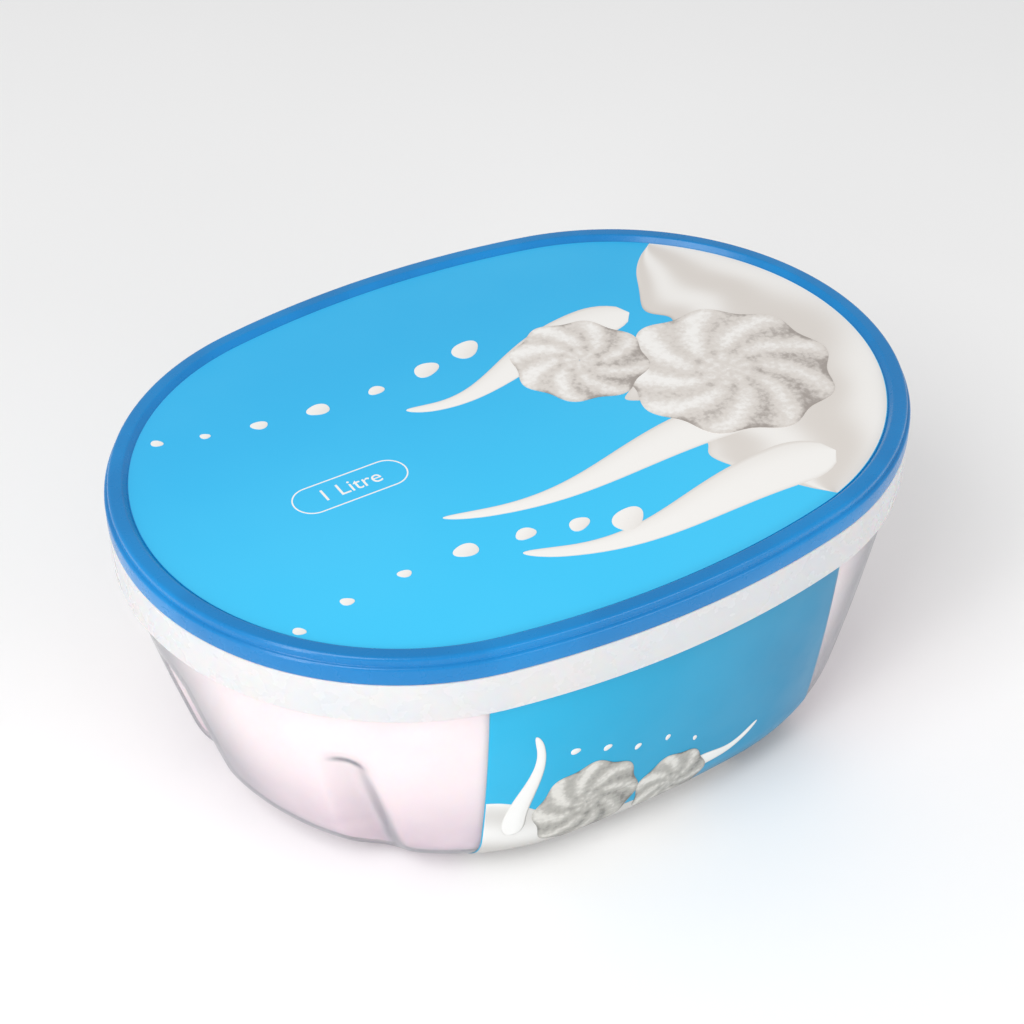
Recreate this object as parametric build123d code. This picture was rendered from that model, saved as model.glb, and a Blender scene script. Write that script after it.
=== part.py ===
"""Oval one-litre ice cream tub, shut with its press-fit lid.

Millimetres, +Z up, +X along the tub. The origin is the middle of the flat base, on the surface
that the tub stands on. Every outline seen from above is an oval of four arcs that meet smoothly:
two end arcs and two flatter side arcs. The sizes of the rim are taken inwards from the lid's outline.
"""
from build123d import *
import os
from math import atan2, cos, degrees, radians, sin

# ---------------------------------------------------------------- heights
BODY_HEIGHT = 55.8            # floor to the collar's lower edge
COLLAR_HEIGHT = 9.7           # the skirt that hangs outside the neck
LID_GAP = 0.1                 # between the collar's shelf and the lid's lower edge
LID_HEIGHT = 6.1              # lower edge of the lid to its crest
HEADSPACE = 2.9               # top of the ice cream below the top of the collar

# ---------------------------------------------------------------- outlines
LID_LENGTH = 180.0
LID_WIDTH = 131.9
END_TUCK = 2.7                # how much less the lid's end radius is than half its width
END_TAPER = 16.3              # how far the base's ends stand in from the lid's
SIDE_TAPER = 8.0              # the same along the sides
BASE_END_TUCK = 0.4           # end tuck of the base's outline
BARREL = 0.8                  # how far the wall swells at half height
BASE_ROUNDING = 13.6          # radius where the wall turns under

# ---------------------------------------------------------------- walls
WALL = 0.9                    # tub wall and neck
FLOOR = 1.1
COLLAR_WALL = 0.8
COLLAR_INSET = 0.05           # collar's face inside the lid's
SHELF = 0.8                   # flange that carries the collar
SHELF_EDGE = 0.35             # rounding of the shelf's outer edge
COLLAR_EDGE = 0.25            # rounding of the collar's lower edge

# ---------------------------------------------------------------- lid section
SKIRT_WALL = 1.2
SNAP_BEAD = 0.33              # the ridge that clicks, on the lid's skirt and on the neck
SNAP_CLEARANCE = 0.16         # between a ridge and the face that it passes
SNAP_HEIGHT = 1.2             # middle of the lid's ridge above its lower edge
SNAP_LAND = 0.7               # flat top of either ridge
SNAP_RAMP = 0.4               # slope at each side of a ridge
TIER_HEIGHT = 4.2             # lower tier of the rim
TIER_STEP = 0.8               # how far the upper tier stands in
TIER_ROUNDING = 0.7
CREST_WALL = 1.0
CREST_ROUNDING = 0.75
RIM_WIDTH = 4.9               # lid's outline to the foot of the sunk panel
RIM_SLOPE = 1.05              # run of the slope from the crest down to the panel
PANEL_SINK = 1.33
PANEL_WALL = 0.9
PANEL_LAP = 3.0               # how far the rim's ring runs in under the panel
PLUG_WALL = 0.9               # ring that plugs the tub's mouth
PLUG_DEPTH = 1.3              # below the underside of the panel
SEAL_CLEARANCE = 0.2          # plug to neck
LIP_GAP = 0.3                 # top of the neck to the underside of the crest

# ---------------------------------------------------------------- grip flutes at the tub's ends
FLUTE_ANGLES = (-44.0, 0.0, 44.0)    # round each end arc
FLUTE_RADIUS = 7.6
FLUTE_TOP_DEPTH = 2.3
FLUTE_FOOT_DEPTH = 4.6
FLUTE_TOP_HEIGHT = 34.5       # middle of the rounded top

# ---------------------------------------------------------------- printed films
FILM = 0.15
LID_FILM_MARGIN = 0.2         # lid film to the foot of the rim
SIDE_FILM_HALF = 42.9         # half its length at the collar
SIDE_FILM_TAPER = 0.9         # how much shorter each half is at the base
SIDE_FILM_FOOT = 1.4          # lower edge above the floor

# ---------------------------------------------------------------- worked out
COLLAR_TOP = BODY_HEIGHT + COLLAR_HEIGHT
LID_FOOT = COLLAR_TOP + LID_GAP
NECK_INSET = SKIRT_WALL + SNAP_BEAD + SNAP_CLEARANCE
NECK_TOP = LID_FOOT + LID_HEIGHT - CREST_WALL - LIP_GAP
PANEL_TOP = LID_FOOT + LID_HEIGHT - PANEL_SINK


def lid_oval():
    """Half length, half width and end radius of the lid's outline."""
    return LID_LENGTH / 2, LID_WIDTH / 2, LID_WIDTH / 2 - END_TUCK


def body_oval(height):
    """Half length, half width and end radius of the wall at a height.

    The three sizes run from the base's to the neck's in a straight line, and the wall swells by
    a parabola that is highest half way up.
    """
    top_length, top_width, top_radius = (size - NECK_INSET for size in lid_oval())
    base_length = LID_LENGTH / 2 - END_TAPER
    base_width = LID_WIDTH / 2 - SIDE_TAPER
    base_radius = base_width - BASE_END_TUCK
    share = height / BODY_HEIGHT
    swell = BARREL * 4 * share * (1 - share)
    pairs = ((base_length, top_length), (base_width, top_width), (base_radius, top_radius))
    return tuple(base + (top - base) * share + swell for base, top in pairs)


def arc_plan(half_length, half_width, end_radius, inset=0.0):
    """The oval's four arcs as (centre, radius, start angle, span), counter-clockwise.

    The side radius is the one whose arc meets the end arc smoothly.
    """
    side_radius = (half_length**2 + half_width**2 - 2 * half_length * end_radius) / (
        2 * (half_width - end_radius)
    )
    end_centre = half_length - end_radius
    side_centre = side_radius - half_width
    meet = degrees(atan2(side_centre, end_centre))
    ends = end_radius - inset
    sides = side_radius - inset
    return (
        ((end_centre, 0), ends, -meet, 2 * meet),
        ((0, -side_centre), sides, meet, 180 - 2 * meet),
        ((-end_centre, 0), ends, 180 - meet, 2 * meet),
        ((0, side_centre), sides, 180 + meet, 180 - 2 * meet),
    )


def oval_face(sizes, inset=0.0, height=0.0):
    """Flat face bounded by the oval, at a height."""
    arcs = [CenterArc(centre, radius, start, span)
            for centre, radius, start, span in arc_plan(*sizes, inset)]
    return Pos(0, 0, height) * make_face(arcs)


def oval_ring(points, roundings, foot):
    """Carries a closed section round the lid's outline.

    Each point is (distance in from the outline, height above the foot); roundings maps a point's
    number to the radius of its corner.
    """
    ring = None
    for centre, radius, start, span in arc_plan(*lid_oval()):
        outwards = Vector(cos(radians(start)), sin(radians(start)), 0)
        plane = Plane(
            origin=(centre[0], centre[1], foot),
            x_dir=outwards,
            z_dir=Vector(outwards.Y, -outwards.X, 0),
        )
        corners = [(radius - inwards, up) for inwards, up in points]
        section = make_face(Polyline(*corners, close=True))
        for number, rounding in roundings.items():
            corner = section.vertices().sort_by_distance((*corners[number], 0))[0]
            section = fillet(corner, rounding)
        turned = revolve(plane * section, Axis((*centre, 0), (0, 0, 1)), span)
        ring = turned if ring is None else ring + turned
    return ring


def body_shell_solid(inset, foot, rounding):
    """Solid of the tapered, swelling wall, in from the outside face by an inset."""
    heights = (foot, (foot + BODY_HEIGHT) / 2, BODY_HEIGHT)
    solid = loft([oval_face(body_oval(height), inset, height) for height in heights])
    return fillet(solid.edges().group_by(Axis.Z)[0], rounding)


def flute_solids(growth):
    """The six rounded bars that press the grip flutes into the ends, grown by a wall."""
    bars = []
    for side in (1, -1):
        for angle in FLUTE_ANGLES:
            way = Vector(side * cos(radians(angle)), sin(radians(angle)), 0)
            points = []
            for height, depth in ((FLUTE_TOP_HEIGHT, FLUTE_TOP_DEPTH), (0, FLUTE_FOOT_DEPTH)):
                length, _, radius = body_oval(height)
                reach = radius + FLUTE_RADIUS - depth
                points.append(Vector(side * (length - radius), 0, height) + way * reach)
            top, foot = points
            along = (top - foot).normalized()
            low = foot - along * 2 * FLUTE_RADIUS
            bar = Solid.make_cylinder(
                FLUTE_RADIUS + growth, (top - low).length, Plane(origin=low, z_dir=along)
            )
            bars.append(bar + Pos(*top) * Sphere(FLUTE_RADIUS + growth))
    return bars


def cavity():
    """Inside of the tub, from its floor to the top of the neck."""
    inside = body_shell_solid(WALL, FLOOR, BASE_ROUNDING - WALL) - flute_solids(WALL)
    mouth = extrude(oval_face(lid_oval(), NECK_INSET + WALL, BODY_HEIGHT), NECK_TOP - BODY_HEIGHT)
    return inside + mouth


def neck_and_collar():
    """The neck with its snap ridge, the shelf, and the collar that hangs from it."""
    neck_inside = NECK_INSET + WALL
    collar_inside = COLLAR_INSET + COLLAR_WALL
    ridge = NECK_TOP - BODY_HEIGHT - LIP_GAP - SNAP_RAMP - SNAP_LAND
    top = NECK_TOP - BODY_HEIGHT
    points = (
        (neck_inside, 0),
        (NECK_INSET, 0),
        (NECK_INSET, COLLAR_HEIGHT - SHELF),
        (collar_inside, COLLAR_HEIGHT - SHELF),
        (collar_inside, 0),
        (COLLAR_INSET, 0),
        (COLLAR_INSET, COLLAR_HEIGHT),
        (NECK_INSET, COLLAR_HEIGHT),
        (NECK_INSET, ridge - SNAP_RAMP),
        (NECK_INSET - SNAP_BEAD, ridge),
        (NECK_INSET - SNAP_BEAD, ridge + SNAP_LAND),
        (NECK_INSET, ridge + SNAP_LAND + SNAP_RAMP),
        (NECK_INSET, top),
        (neck_inside, top),
    )
    return oval_ring(points, {4: COLLAR_EDGE, 5: COLLAR_EDGE, 6: SHELF_EDGE}, BODY_HEIGHT)


def make_tub():
    """Thin-walled tub: one piece with its neck, shelf and hanging collar."""
    body = body_shell_solid(0, 0, BASE_ROUNDING) - flute_solids(0)
    return body + neck_and_collar() - cavity()


def make_ice_cream():
    """The contents, which fill the tub to just under the lid."""
    level = COLLAR_TOP - HEADSPACE
    above = Pos(0, 0, level) * Box(
        LID_LENGTH, LID_WIDTH, LID_HEIGHT + COLLAR_HEIGHT, align=(Align.CENTER, Align.CENTER, Align.MIN)
    )
    return cavity() - above


def make_lid():
    """Lid in one piece: two-tier rim, snap ridge, plug ring and sunk panel."""
    crest_inside = RIM_WIDTH - RIM_SLOPE
    under_crest = LID_HEIGHT - CREST_WALL
    panel_top = LID_HEIGHT - PANEL_SINK
    under_panel = panel_top - PANEL_WALL
    plug = NECK_INSET + WALL + SEAL_CLEARANCE
    ridge = SNAP_LAND / 2
    points = (
        (0, 0),
        (0, TIER_HEIGHT),
        (TIER_STEP, TIER_HEIGHT),
        (TIER_STEP, LID_HEIGHT),
        (crest_inside, LID_HEIGHT),
        (RIM_WIDTH, panel_top),
        (RIM_WIDTH + PANEL_LAP, panel_top),
        (RIM_WIDTH + PANEL_LAP, under_panel),
        (plug + PLUG_WALL, under_panel),
        (plug + PLUG_WALL, under_panel - PLUG_DEPTH),
        (plug, under_panel - PLUG_DEPTH),
        (plug, under_crest),
        (SKIRT_WALL + SNAP_BEAD, under_crest),
        (SKIRT_WALL, TIER_HEIGHT - SNAP_RAMP),
        (SKIRT_WALL, SNAP_HEIGHT + ridge + SNAP_RAMP),
        (SKIRT_WALL + SNAP_BEAD, SNAP_HEIGHT + ridge),
        (SKIRT_WALL + SNAP_BEAD, SNAP_HEIGHT - ridge),
        (SKIRT_WALL, SNAP_HEIGHT - ridge - SNAP_RAMP),
        (SKIRT_WALL, 0),
    )
    roundings = {0: SHELF_EDGE, 1: TIER_ROUNDING, 3: CREST_ROUNDING, 4: CREST_ROUNDING}
    rim = oval_ring(points, roundings, LID_FOOT)
    panel = extrude(oval_face(lid_oval(), RIM_WIDTH + PANEL_LAP / 2, PANEL_TOP), -PANEL_WALL)
    return rim + panel


def make_lid_print():
    """Printed film on the lid's sunk panel."""
    return extrude(oval_face(lid_oval(), RIM_WIDTH + LID_FILM_MARGIN, PANEL_TOP), FILM)


def make_side_print(side):
    """Printed film on one long side, from the collar down round the base's rounding."""
    grown = body_shell_solid(-FILM, -FILM, BASE_ROUNDING + FILM)
    skin = grown - body_shell_solid(0, 0, BASE_ROUNDING)
    low_half = SIDE_FILM_HALF - SIDE_FILM_TAPER
    outline = Polyline(
        (-low_half, SIDE_FILM_FOOT),
        (low_half, SIDE_FILM_FOOT),
        (SIDE_FILM_HALF, BODY_HEIGHT),
        (-SIDE_FILM_HALF, BODY_HEIGHT),
        close=True,
    )
    stencil = extrude(Plane.XZ * make_face(outline), -side * LID_WIDTH)
    return skin & stencil


def main():
    """Builds every piece and writes one STEP file for each."""
    os.makedirs("parts", exist_ok=True)
    pieces = {
        "tub": make_tub(),
        "ice_cream": make_ice_cream(),
        "lid": make_lid(),
        "lid_print": make_lid_print(),
        "side_print_front": make_side_print(-1),
        "side_print_back": make_side_print(1),
    }
    for name, piece in pieces.items():
        export_step(piece, f"parts/{name}.step")
        print(f"{name}: {piece.volume:.1f} mm3, {len(piece.solids())} solid")


main()
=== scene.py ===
"""Looks of an oval one-litre ice cream tub with its press-fit lid.

Metres, +Z up, +X along the tub, the origin in the middle of the base. Sizes in the dataclasses are
millimetres, and MM turns them into metres. Every outline seen from above is an oval of four arcs:
two end arcs and two flatter side arcs that meet smoothly.
"""
from __future__ import annotations

import logging
import math
from dataclasses import dataclass
from enum import Enum

import bmesh
import bpy
import numpy as np
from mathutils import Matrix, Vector

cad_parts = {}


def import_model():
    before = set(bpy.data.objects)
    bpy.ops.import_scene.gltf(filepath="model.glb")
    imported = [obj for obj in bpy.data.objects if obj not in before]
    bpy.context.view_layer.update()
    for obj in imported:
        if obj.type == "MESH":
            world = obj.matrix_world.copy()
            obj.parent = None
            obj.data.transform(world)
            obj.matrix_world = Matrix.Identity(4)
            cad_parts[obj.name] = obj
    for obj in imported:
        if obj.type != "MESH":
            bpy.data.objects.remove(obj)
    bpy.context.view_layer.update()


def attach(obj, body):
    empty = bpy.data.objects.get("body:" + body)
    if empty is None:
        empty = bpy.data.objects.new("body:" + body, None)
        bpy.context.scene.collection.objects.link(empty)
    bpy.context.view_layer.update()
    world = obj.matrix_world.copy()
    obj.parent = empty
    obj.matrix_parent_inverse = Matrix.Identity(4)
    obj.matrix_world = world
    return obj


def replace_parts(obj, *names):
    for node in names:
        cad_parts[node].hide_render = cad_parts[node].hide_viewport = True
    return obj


MM = 0.001
BODY = "root"
LOG = logging.getLogger("tub")
Colour = tuple[float, float, float]


Spot = tuple[float, float]
WAVE_LAYER, RIBBON_LAYER, DROP_LAYER, SWIRL_LAYER = 1, 2, 3, 4
RINGS_IN = np.array([0.02, 0.3, 0.6, 0.85, 0.97])[:, None, None]
DEEP_TO_PALE = (0.0, 1.0)
MIDDLE_NOISE = (0.3, 0.7)


class Slot(Enum):
    """The record's material slots."""

    TUB = "tub_plastic"
    CONTENTS = "ice_cream"
    LID = "lid_plastic"
    PRINT = "print_film"


class Way(Enum):
    """The long sides of the tub, by the sign of Y that each faces."""

    FRONT = -1
    BACK = 1


def linear(red: int, green: int, blue: int) -> Colour:
    """Linear colour of an 8-bit screen colour.

    Args:
        red: red channel from 0 to 255.
        green: green channel from 0 to 255.
        blue: blue channel from 0 to 255.
    Returns:
        The three linear channels.
    """
    share = np.array([red, green, blue]) / 255.0
    low = share / 12.92
    high = ((share + 0.055) / 1.055) ** 2.4
    return tuple(float(v) for v in np.where(share <= 0.04045, low, high))


# ------------------------------------------------------------------ outlines


@dataclass(frozen=True)
class TubSizes:
    """Sizes of the tub and lid in millimetres, the same as the solid model's."""

    lid_length: float = 180.0
    lid_width: float = 131.9
    end_tuck: float = 2.7
    body_height: float = 55.8
    collar_height: float = 9.7
    lid_gap: float = 0.1
    lid_height: float = 6.1
    end_taper: float = 16.3
    side_taper: float = 8.0
    base_end_tuck: float = 0.4
    barrel: float = 0.8
    base_rounding: float = 13.6
    wall: float = 0.9
    floor: float = 1.1
    neck_inset: float = 1.69
    headspace: float = 2.9
    panel_sink: float = 1.33
    rim_width: float = 4.9

    @property
    def collar_top(self) -> float:
        """Height of the collar's upper edge."""
        return self.body_height + self.collar_height

    @property
    def lid_foot(self) -> float:
        """Height of the lid's lower edge."""
        return self.collar_top + self.lid_gap

    @property
    def panel_top(self) -> float:
        """Height of the lid's sunk panel."""
        return self.lid_foot + self.lid_height - self.panel_sink

    def lid_oval(self) -> tuple[float, float, float]:
        """Half length, half width and end radius of the lid's outline."""
        return self.lid_length / 2, self.lid_width / 2, self.lid_width / 2 - self.end_tuck

    def body_oval(self, height: np.ndarray) -> tuple[np.ndarray, np.ndarray, np.ndarray]:
        """Half length, half width and end radius of the wall at each height.

        Each size runs in a straight line from the base's to the neck's, plus a swell of
        barrel * 4 * share * (1 - share), where share is the height over the body's height.

        Args:
            height: heights above the floor, in millimetres.
        Returns:
            The three sizes, each shaped like height.
        """
        share = np.asarray(height, float) / self.body_height
        swell = self.barrel * 4 * share * (1 - share)
        base_width = self.lid_width / 2 - self.side_taper
        base = (self.lid_length / 2 - self.end_taper, base_width, base_width - self.base_end_tuck)
        top = tuple(size - self.neck_inset for size in self.lid_oval())
        return tuple(low + (high - low) * share + swell for low, high in zip(base, top))

    def turn_under(self, height: np.ndarray) -> np.ndarray:
        """How far the rounding at the base takes the wall in at each height.

        A quarter circle: radius - sqrt(radius^2 - (radius - height)^2), and nothing above it.

        Args:
            height: heights above the floor, in millimetres.
        Returns:
            Distances inwards, shaped like height.
        """
        rise = np.clip(self.base_rounding - np.asarray(height, float), 0, self.base_rounding)
        return self.base_rounding - np.sqrt(self.base_rounding**2 - rise**2)


def oval_arcs(length: np.ndarray, width: np.ndarray, radius: np.ndarray) -> tuple[np.ndarray, ...]:
    """Side radius, end centre, side centre and meeting angle of ovals.

    The side radius is (length^2 + width^2 - 2 * length * radius) / (2 * (width - radius)), which
    makes the side arc meet the end arc smoothly.

    Args:
        length: half lengths.
        width: half widths.
        radius: end radii.
    Returns:
        The four values, shaped like the sizes.
    """
    side = (length**2 + width**2 - 2 * length * radius) / (2 * (width - radius))
    return side, length - radius, side - width, np.arctan2(side - width, length - radius)


def oval_xy(sizes: tuple[np.ndarray, ...], angle: np.ndarray, inset: np.ndarray) -> np.ndarray:
    """Points of ovals where the outward normal has the given angle.

    A point is its arc's centre plus (arc radius - inset) along the normal.

    Args:
        sizes: half length, half width and end radius, broadcast against angle.
        angle: direction of the normal, in radians.
        inset: distance inwards from the outline.
    Returns:
        Array of the broadcast shape with a last axis of x and y, in millimetres.
    """
    side, end_centre, side_centre, meet = oval_arcs(*sizes)
    cosine, sine = np.cos(angle), np.sin(angle)
    fold = np.arctan2(np.abs(sine), np.abs(cosine))
    at_end = fold < meet
    end_x = np.sign(cosine) * (end_centre + (sizes[2] - inset) * np.abs(cosine))
    end_y = (sizes[2] - inset) * sine
    side_x = (side - inset) * cosine
    side_y = np.sign(sine) * ((side - inset) * np.abs(sine) - side_centre)
    return np.stack([np.where(at_end, end_x, side_x), np.where(at_end, end_y, side_y)], -1)


def angles_round(sizes: tuple[float, float, float], count: int) -> np.ndarray:
    """Normal angles of points spaced evenly along an oval, anticlockwise from +X.

    Along an arc the angle grows in a straight line with length, so the angle is interpolated
    between the ends of the four arcs.

    Args:
        sizes: half length, half width and end radius.
        count: how many points.
    Returns:
        The angles, in radians.
    """
    side, _, _, meet = (float(v) for v in oval_arcs(*sizes))
    end_run = sizes[2] * meet
    quarter = end_run + side * (math.pi / 2 - meet)
    stops = [0, end_run, 2 * quarter - end_run, 2 * quarter + end_run, 4 * quarter - end_run]
    turns = [0, meet, math.pi - meet, math.pi + meet, 2 * math.pi - meet]
    run = np.arange(count) * 4 * quarter / count
    return np.interp(run, stops + [4 * quarter], turns + [2 * math.pi])


# ------------------------------------------------------------------ meshes


def grid_faces(rows: int, columns: int, wrap_rows: bool, wrap_columns: bool) -> np.ndarray:
    """Quads of a grid of points, anticlockwise with rows upwards and columns to the right.

    Args:
        rows: rows of points.
        columns: points in a row.
        wrap_rows: whether the last row joins the first.
        wrap_columns: whether each row is a closed ring.
    Returns:
        Four point numbers for each face.
    """
    row = np.arange(rows if wrap_rows else rows - 1)[:, None]
    column = np.arange(columns if wrap_columns else columns - 1)[None, :]
    up, right = (row + 1) % rows, (column + 1) % columns
    here, above = row * columns, up * columns
    quad = (here + column, here + right, above + right, above + column)
    spread = [np.broadcast_to(corner, (row.size, column.size)) for corner in quad]
    return np.stack(spread, -1).reshape(-1, 4)


@dataclass
class Shape:
    """Points, faces and a tone for each point, which joins other shapes into one mesh.

    The tone, from 0 to 1, says how light the print or finish is at a point.
    """

    points: np.ndarray
    faces: list[np.ndarray]
    tone: np.ndarray

    @staticmethod
    def shell(grid: np.ndarray) -> Shape:
        """Closed skin of a grid whose rows are closed rings, with its first and last ring capped.

        Args:
            grid: points, one row a ring, the rings in order over the skin.
        Returns:
            The skin.
        """
        rows, columns = grid.shape[:2]
        points = grid.reshape(-1, 3)
        first, last = np.arange(columns)[::-1], np.arange(columns) + (rows - 1) * columns
        faces = [grid_faces(rows, columns, False, True), first[None, :], last[None, :]]
        return Shape(points, faces, np.ones(len(points)))

    @staticmethod
    def torus(grid: np.ndarray) -> Shape:
        """Closed skin of a grid that wraps both ways.

        Args:
            grid: points, one row a ring, the last row next to the first.
        Returns:
            The skin.
        """
        rows, columns = grid.shape[:2]
        points = grid.reshape(-1, 3)
        return Shape(points, [grid_faces(rows, columns, True, True)], np.ones(len(points)))

    @staticmethod
    def slab(front: np.ndarray, back: np.ndarray, tone: np.ndarray) -> Shape:
        """Thin closed piece between two grids of the same size, stitched round their edges.

        Args:
            front: points of the outer face.
            back: points of the inner face.
            tone: tone of each point of a face.
        Returns:
            The piece.
        """
        rows, columns = front.shape[:2]
        index = np.arange(rows * columns).reshape(rows, columns)
        border = np.concatenate([index[0], index[1:, -1], index[-1, -2::-1], index[-2:0:-1, 0]])
        after = np.roll(border, -1)
        offset = rows * columns
        stitch = np.stack([after, border, border + offset, after + offset], -1)
        quads = grid_faces(rows, columns, False, False)
        points = np.concatenate([front.reshape(-1, 3), back.reshape(-1, 3)])
        tones = np.concatenate([tone.reshape(-1), tone.reshape(-1)])
        return Shape(points, [quads, quads[:, ::-1] + offset, stitch], tones)

    @staticmethod
    def joined(shapes: list[Shape]) -> Shape:
        """One shape with all the points and faces of several.

        Args:
            shapes: the shapes to join.
        Returns:
            The joined shape.
        """
        starts = np.cumsum([0] + [len(shape.points) for shape in shapes[:-1]])
        faces = [face + start for shape, start in zip(shapes, starts) for face in shape.faces]
        points = np.concatenate([shape.points for shape in shapes])
        return Shape(points, faces, np.concatenate([shape.tone for shape in shapes]))

    def piece(
        self, name: str, finish: bpy.types.Material, slot: Slot, smooth: bool = True
    ) -> bpy.types.Object:
        """Makes the Blender object, in metres, and lets it ride on the tub.

        Args:
            name: the piece's name.
            finish: its material.
            slot: the record's slot that it belongs to.
            smooth: whether its faces are shaded smooth.
        Returns:
            The new object, at the origin.
        """
        mesh = bpy.data.meshes.new(name)
        faces = [face for block in self.faces for face in block.tolist()]
        mesh.from_pydata((self.points * MM).tolist(), [], faces)
        mesh.polygons.foreach_set("use_smooth", np.full(len(mesh.polygons), smooth))
        return dressed(mesh, self.tone, finish, slot)


def dressed(
    mesh: bpy.types.Mesh, tone: np.ndarray, finish: bpy.types.Material, slot: Slot
) -> bpy.types.Object:
    """Makes an object of a finished mesh, which rides on the tub.

    Args:
        mesh: the mesh, in metres; the object takes its name.
        tone: tone of each point.
        finish: its material.
        slot: not used.
    Returns:
        The new object, at the origin.
    """
    values = mesh.attributes.new("tone", "FLOAT", "POINT")
    values.data.foreach_set("value", tone.astype(np.float32))
    mesh.materials.append(finish)
    mesh.validate()
    mesh.update()
    piece = bpy.data.objects.new(mesh.name, mesh)
    bpy.context.scene.collection.objects.link(piece)
    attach(piece, BODY)
    LOG.info("%s: %d points, %d faces", mesh.name, len(mesh.vertices), len(mesh.polygons))
    return piece


# ------------------------------------------------------------------ materials


class Nodes:
    """A material's node tree, with short calls for the nodes that the finishes share."""

    def __init__(self, name: str) -> None:
        """Starts an empty material with a Principled shader on its output.

        Args:
            name: the material's name.
        """
        self.material = bpy.data.materials.new(name)
        self.material.use_nodes = True
        self.tree = self.material.node_tree
        self.shader = self.tree.nodes["Principled BSDF"]

    def add(self, kind: str, **settings: object) -> bpy.types.Node:
        """Adds a node and sets its properties.

        Args:
            kind: the node's type name.
            settings: properties and their values.
        Returns:
            The node.
        """
        node = self.tree.nodes.new(kind)
        for key, value in settings.items():
            setattr(node, key, value)
        return node

    def link(self, source: bpy.types.NodeSocket, target: bpy.types.NodeSocket) -> None:
        """Joins two sockets."""
        self.tree.links.new(source, target)

    def place(self) -> bpy.types.NodeSocket:
        """Object coordinates, in metres."""
        return self.add("ShaderNodeTexCoord").outputs["Object"]

    def axis(self, name: str) -> bpy.types.NodeSocket:
        """One of the object coordinates.

        Args:
            name: X, Y or Z.
        Returns:
            The coordinate, in metres.
        """
        split = self.add("ShaderNodeSeparateXYZ")
        self.link(self.place(), split.inputs[0])
        return split.outputs[name]

    def noise(self, scale: float, detail: float = 3.0) -> bpy.types.NodeSocket:
        """Noise from 0 to 1 in object space.

        Args:
            scale: cycles a metre.
            detail: how many finer layers it has.
        Returns:
            The noise.
        """
        node = self.add("ShaderNodeTexNoise")
        self.link(self.place(), node.inputs["Vector"])
        node.inputs["Scale"].default_value = scale
        node.inputs["Detail"].default_value = detail
        return node.outputs["Fac"]

    def remap(
        self, source: bpy.types.NodeSocket, span: tuple[float, float], out: tuple[float, float]
    ) -> bpy.types.NodeSocket:
        """Carries a value smoothly from one span to another.

        Args:
            source: the value.
            span: where it starts and ends.
            out: what it gives there.
        Returns:
            The carried value.
        """
        node = self.add("ShaderNodeMapRange", interpolation_type="SMOOTHSTEP")
        self.link(source, node.inputs["Value"])
        for key, value in zip(("From Min", "From Max", "To Min", "To Max"), span + out):
            node.inputs[key].default_value = value
        return node.outputs["Result"]

    def mix(self, share: bpy.types.NodeSocket, first: object, second: object) -> bpy.types.NodeSocket:
        """Mixes two colours, each a constant or a socket.

        Args:
            share: how much of the second.
            first: the colour at 0.
            second: the colour at 1.
        Returns:
            The mixed colour.
        """
        node = self.add("ShaderNodeMix", data_type="RGBA")
        self.link(share, node.inputs["Factor"])
        for key, value in (("A", first), ("B", second)):
            socket = [s for s in node.inputs if s.name == key and s.type == "RGBA"][0]
            if isinstance(value, tuple):
                socket.default_value = (*value, 1.0)
            else:
                self.link(value, socket)
        return [s for s in node.outputs if s.type == "RGBA"][0]

    def bump(self, height: bpy.types.NodeSocket, strength: float, distance: float) -> None:
        """Roughens the shading by a height.

        Args:
            height: the height, from 0 to 1.
            strength: how strongly it shades.
            distance: the relief's depth, in metres.
        """
        node = self.add("ShaderNodeBump")
        node.inputs["Strength"].default_value = strength
        node.inputs["Distance"].default_value = distance
        self.link(height, node.inputs["Height"])
        self.link(node.outputs["Normal"], self.shader.inputs["Normal"])

    def rough(self, scale: float, low: float, high: float) -> None:
        """Lets the roughness wander between two values.

        Args:
            scale: cycles a metre of the noise behind it.
            low: smoothest value.
            high: roughest value.
        """
        wander = self.remap(self.noise(scale), MIDDLE_NOISE, (low, high))
        self.link(wander, self.shader.inputs["Roughness"])

    def set(self, **values: float) -> None:
        """Sets constants on the shader's own sockets; an underscore stands for a space."""
        for key, value in values.items():
            self.shader.inputs[key.replace("_", " ")].default_value = value


@dataclass(frozen=True)
class MouldedBlue:
    """Satin blue polypropylene of the lid."""

    base: Colour = linear(0, 118, 184)
    pale: Colour = linear(0, 130, 198)
    smoothest: float = 0.24
    roughest: float = 0.31

    def build(self) -> bpy.types.Material:
        """Blue with faint flow streaks and a fine moulding texture."""
        nodes = Nodes("moulded_blue")
        streaks = nodes.remap(nodes.noise(35.0), (0.35, 0.65), DEEP_TO_PALE)
        colour = nodes.mix(streaks, self.base, self.pale)
        nodes.link(colour, nodes.shader.inputs["Base Color"])
        nodes.rough(220.0, self.smoothest, self.roughest)
        nodes.set(Coat_Weight=0.15, Coat_Roughness=0.12, Specular_IOR_Level=0.35)
        nodes.bump(nodes.noise(1500.0), 0.05, 0.0001)
        return nodes.material


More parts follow.
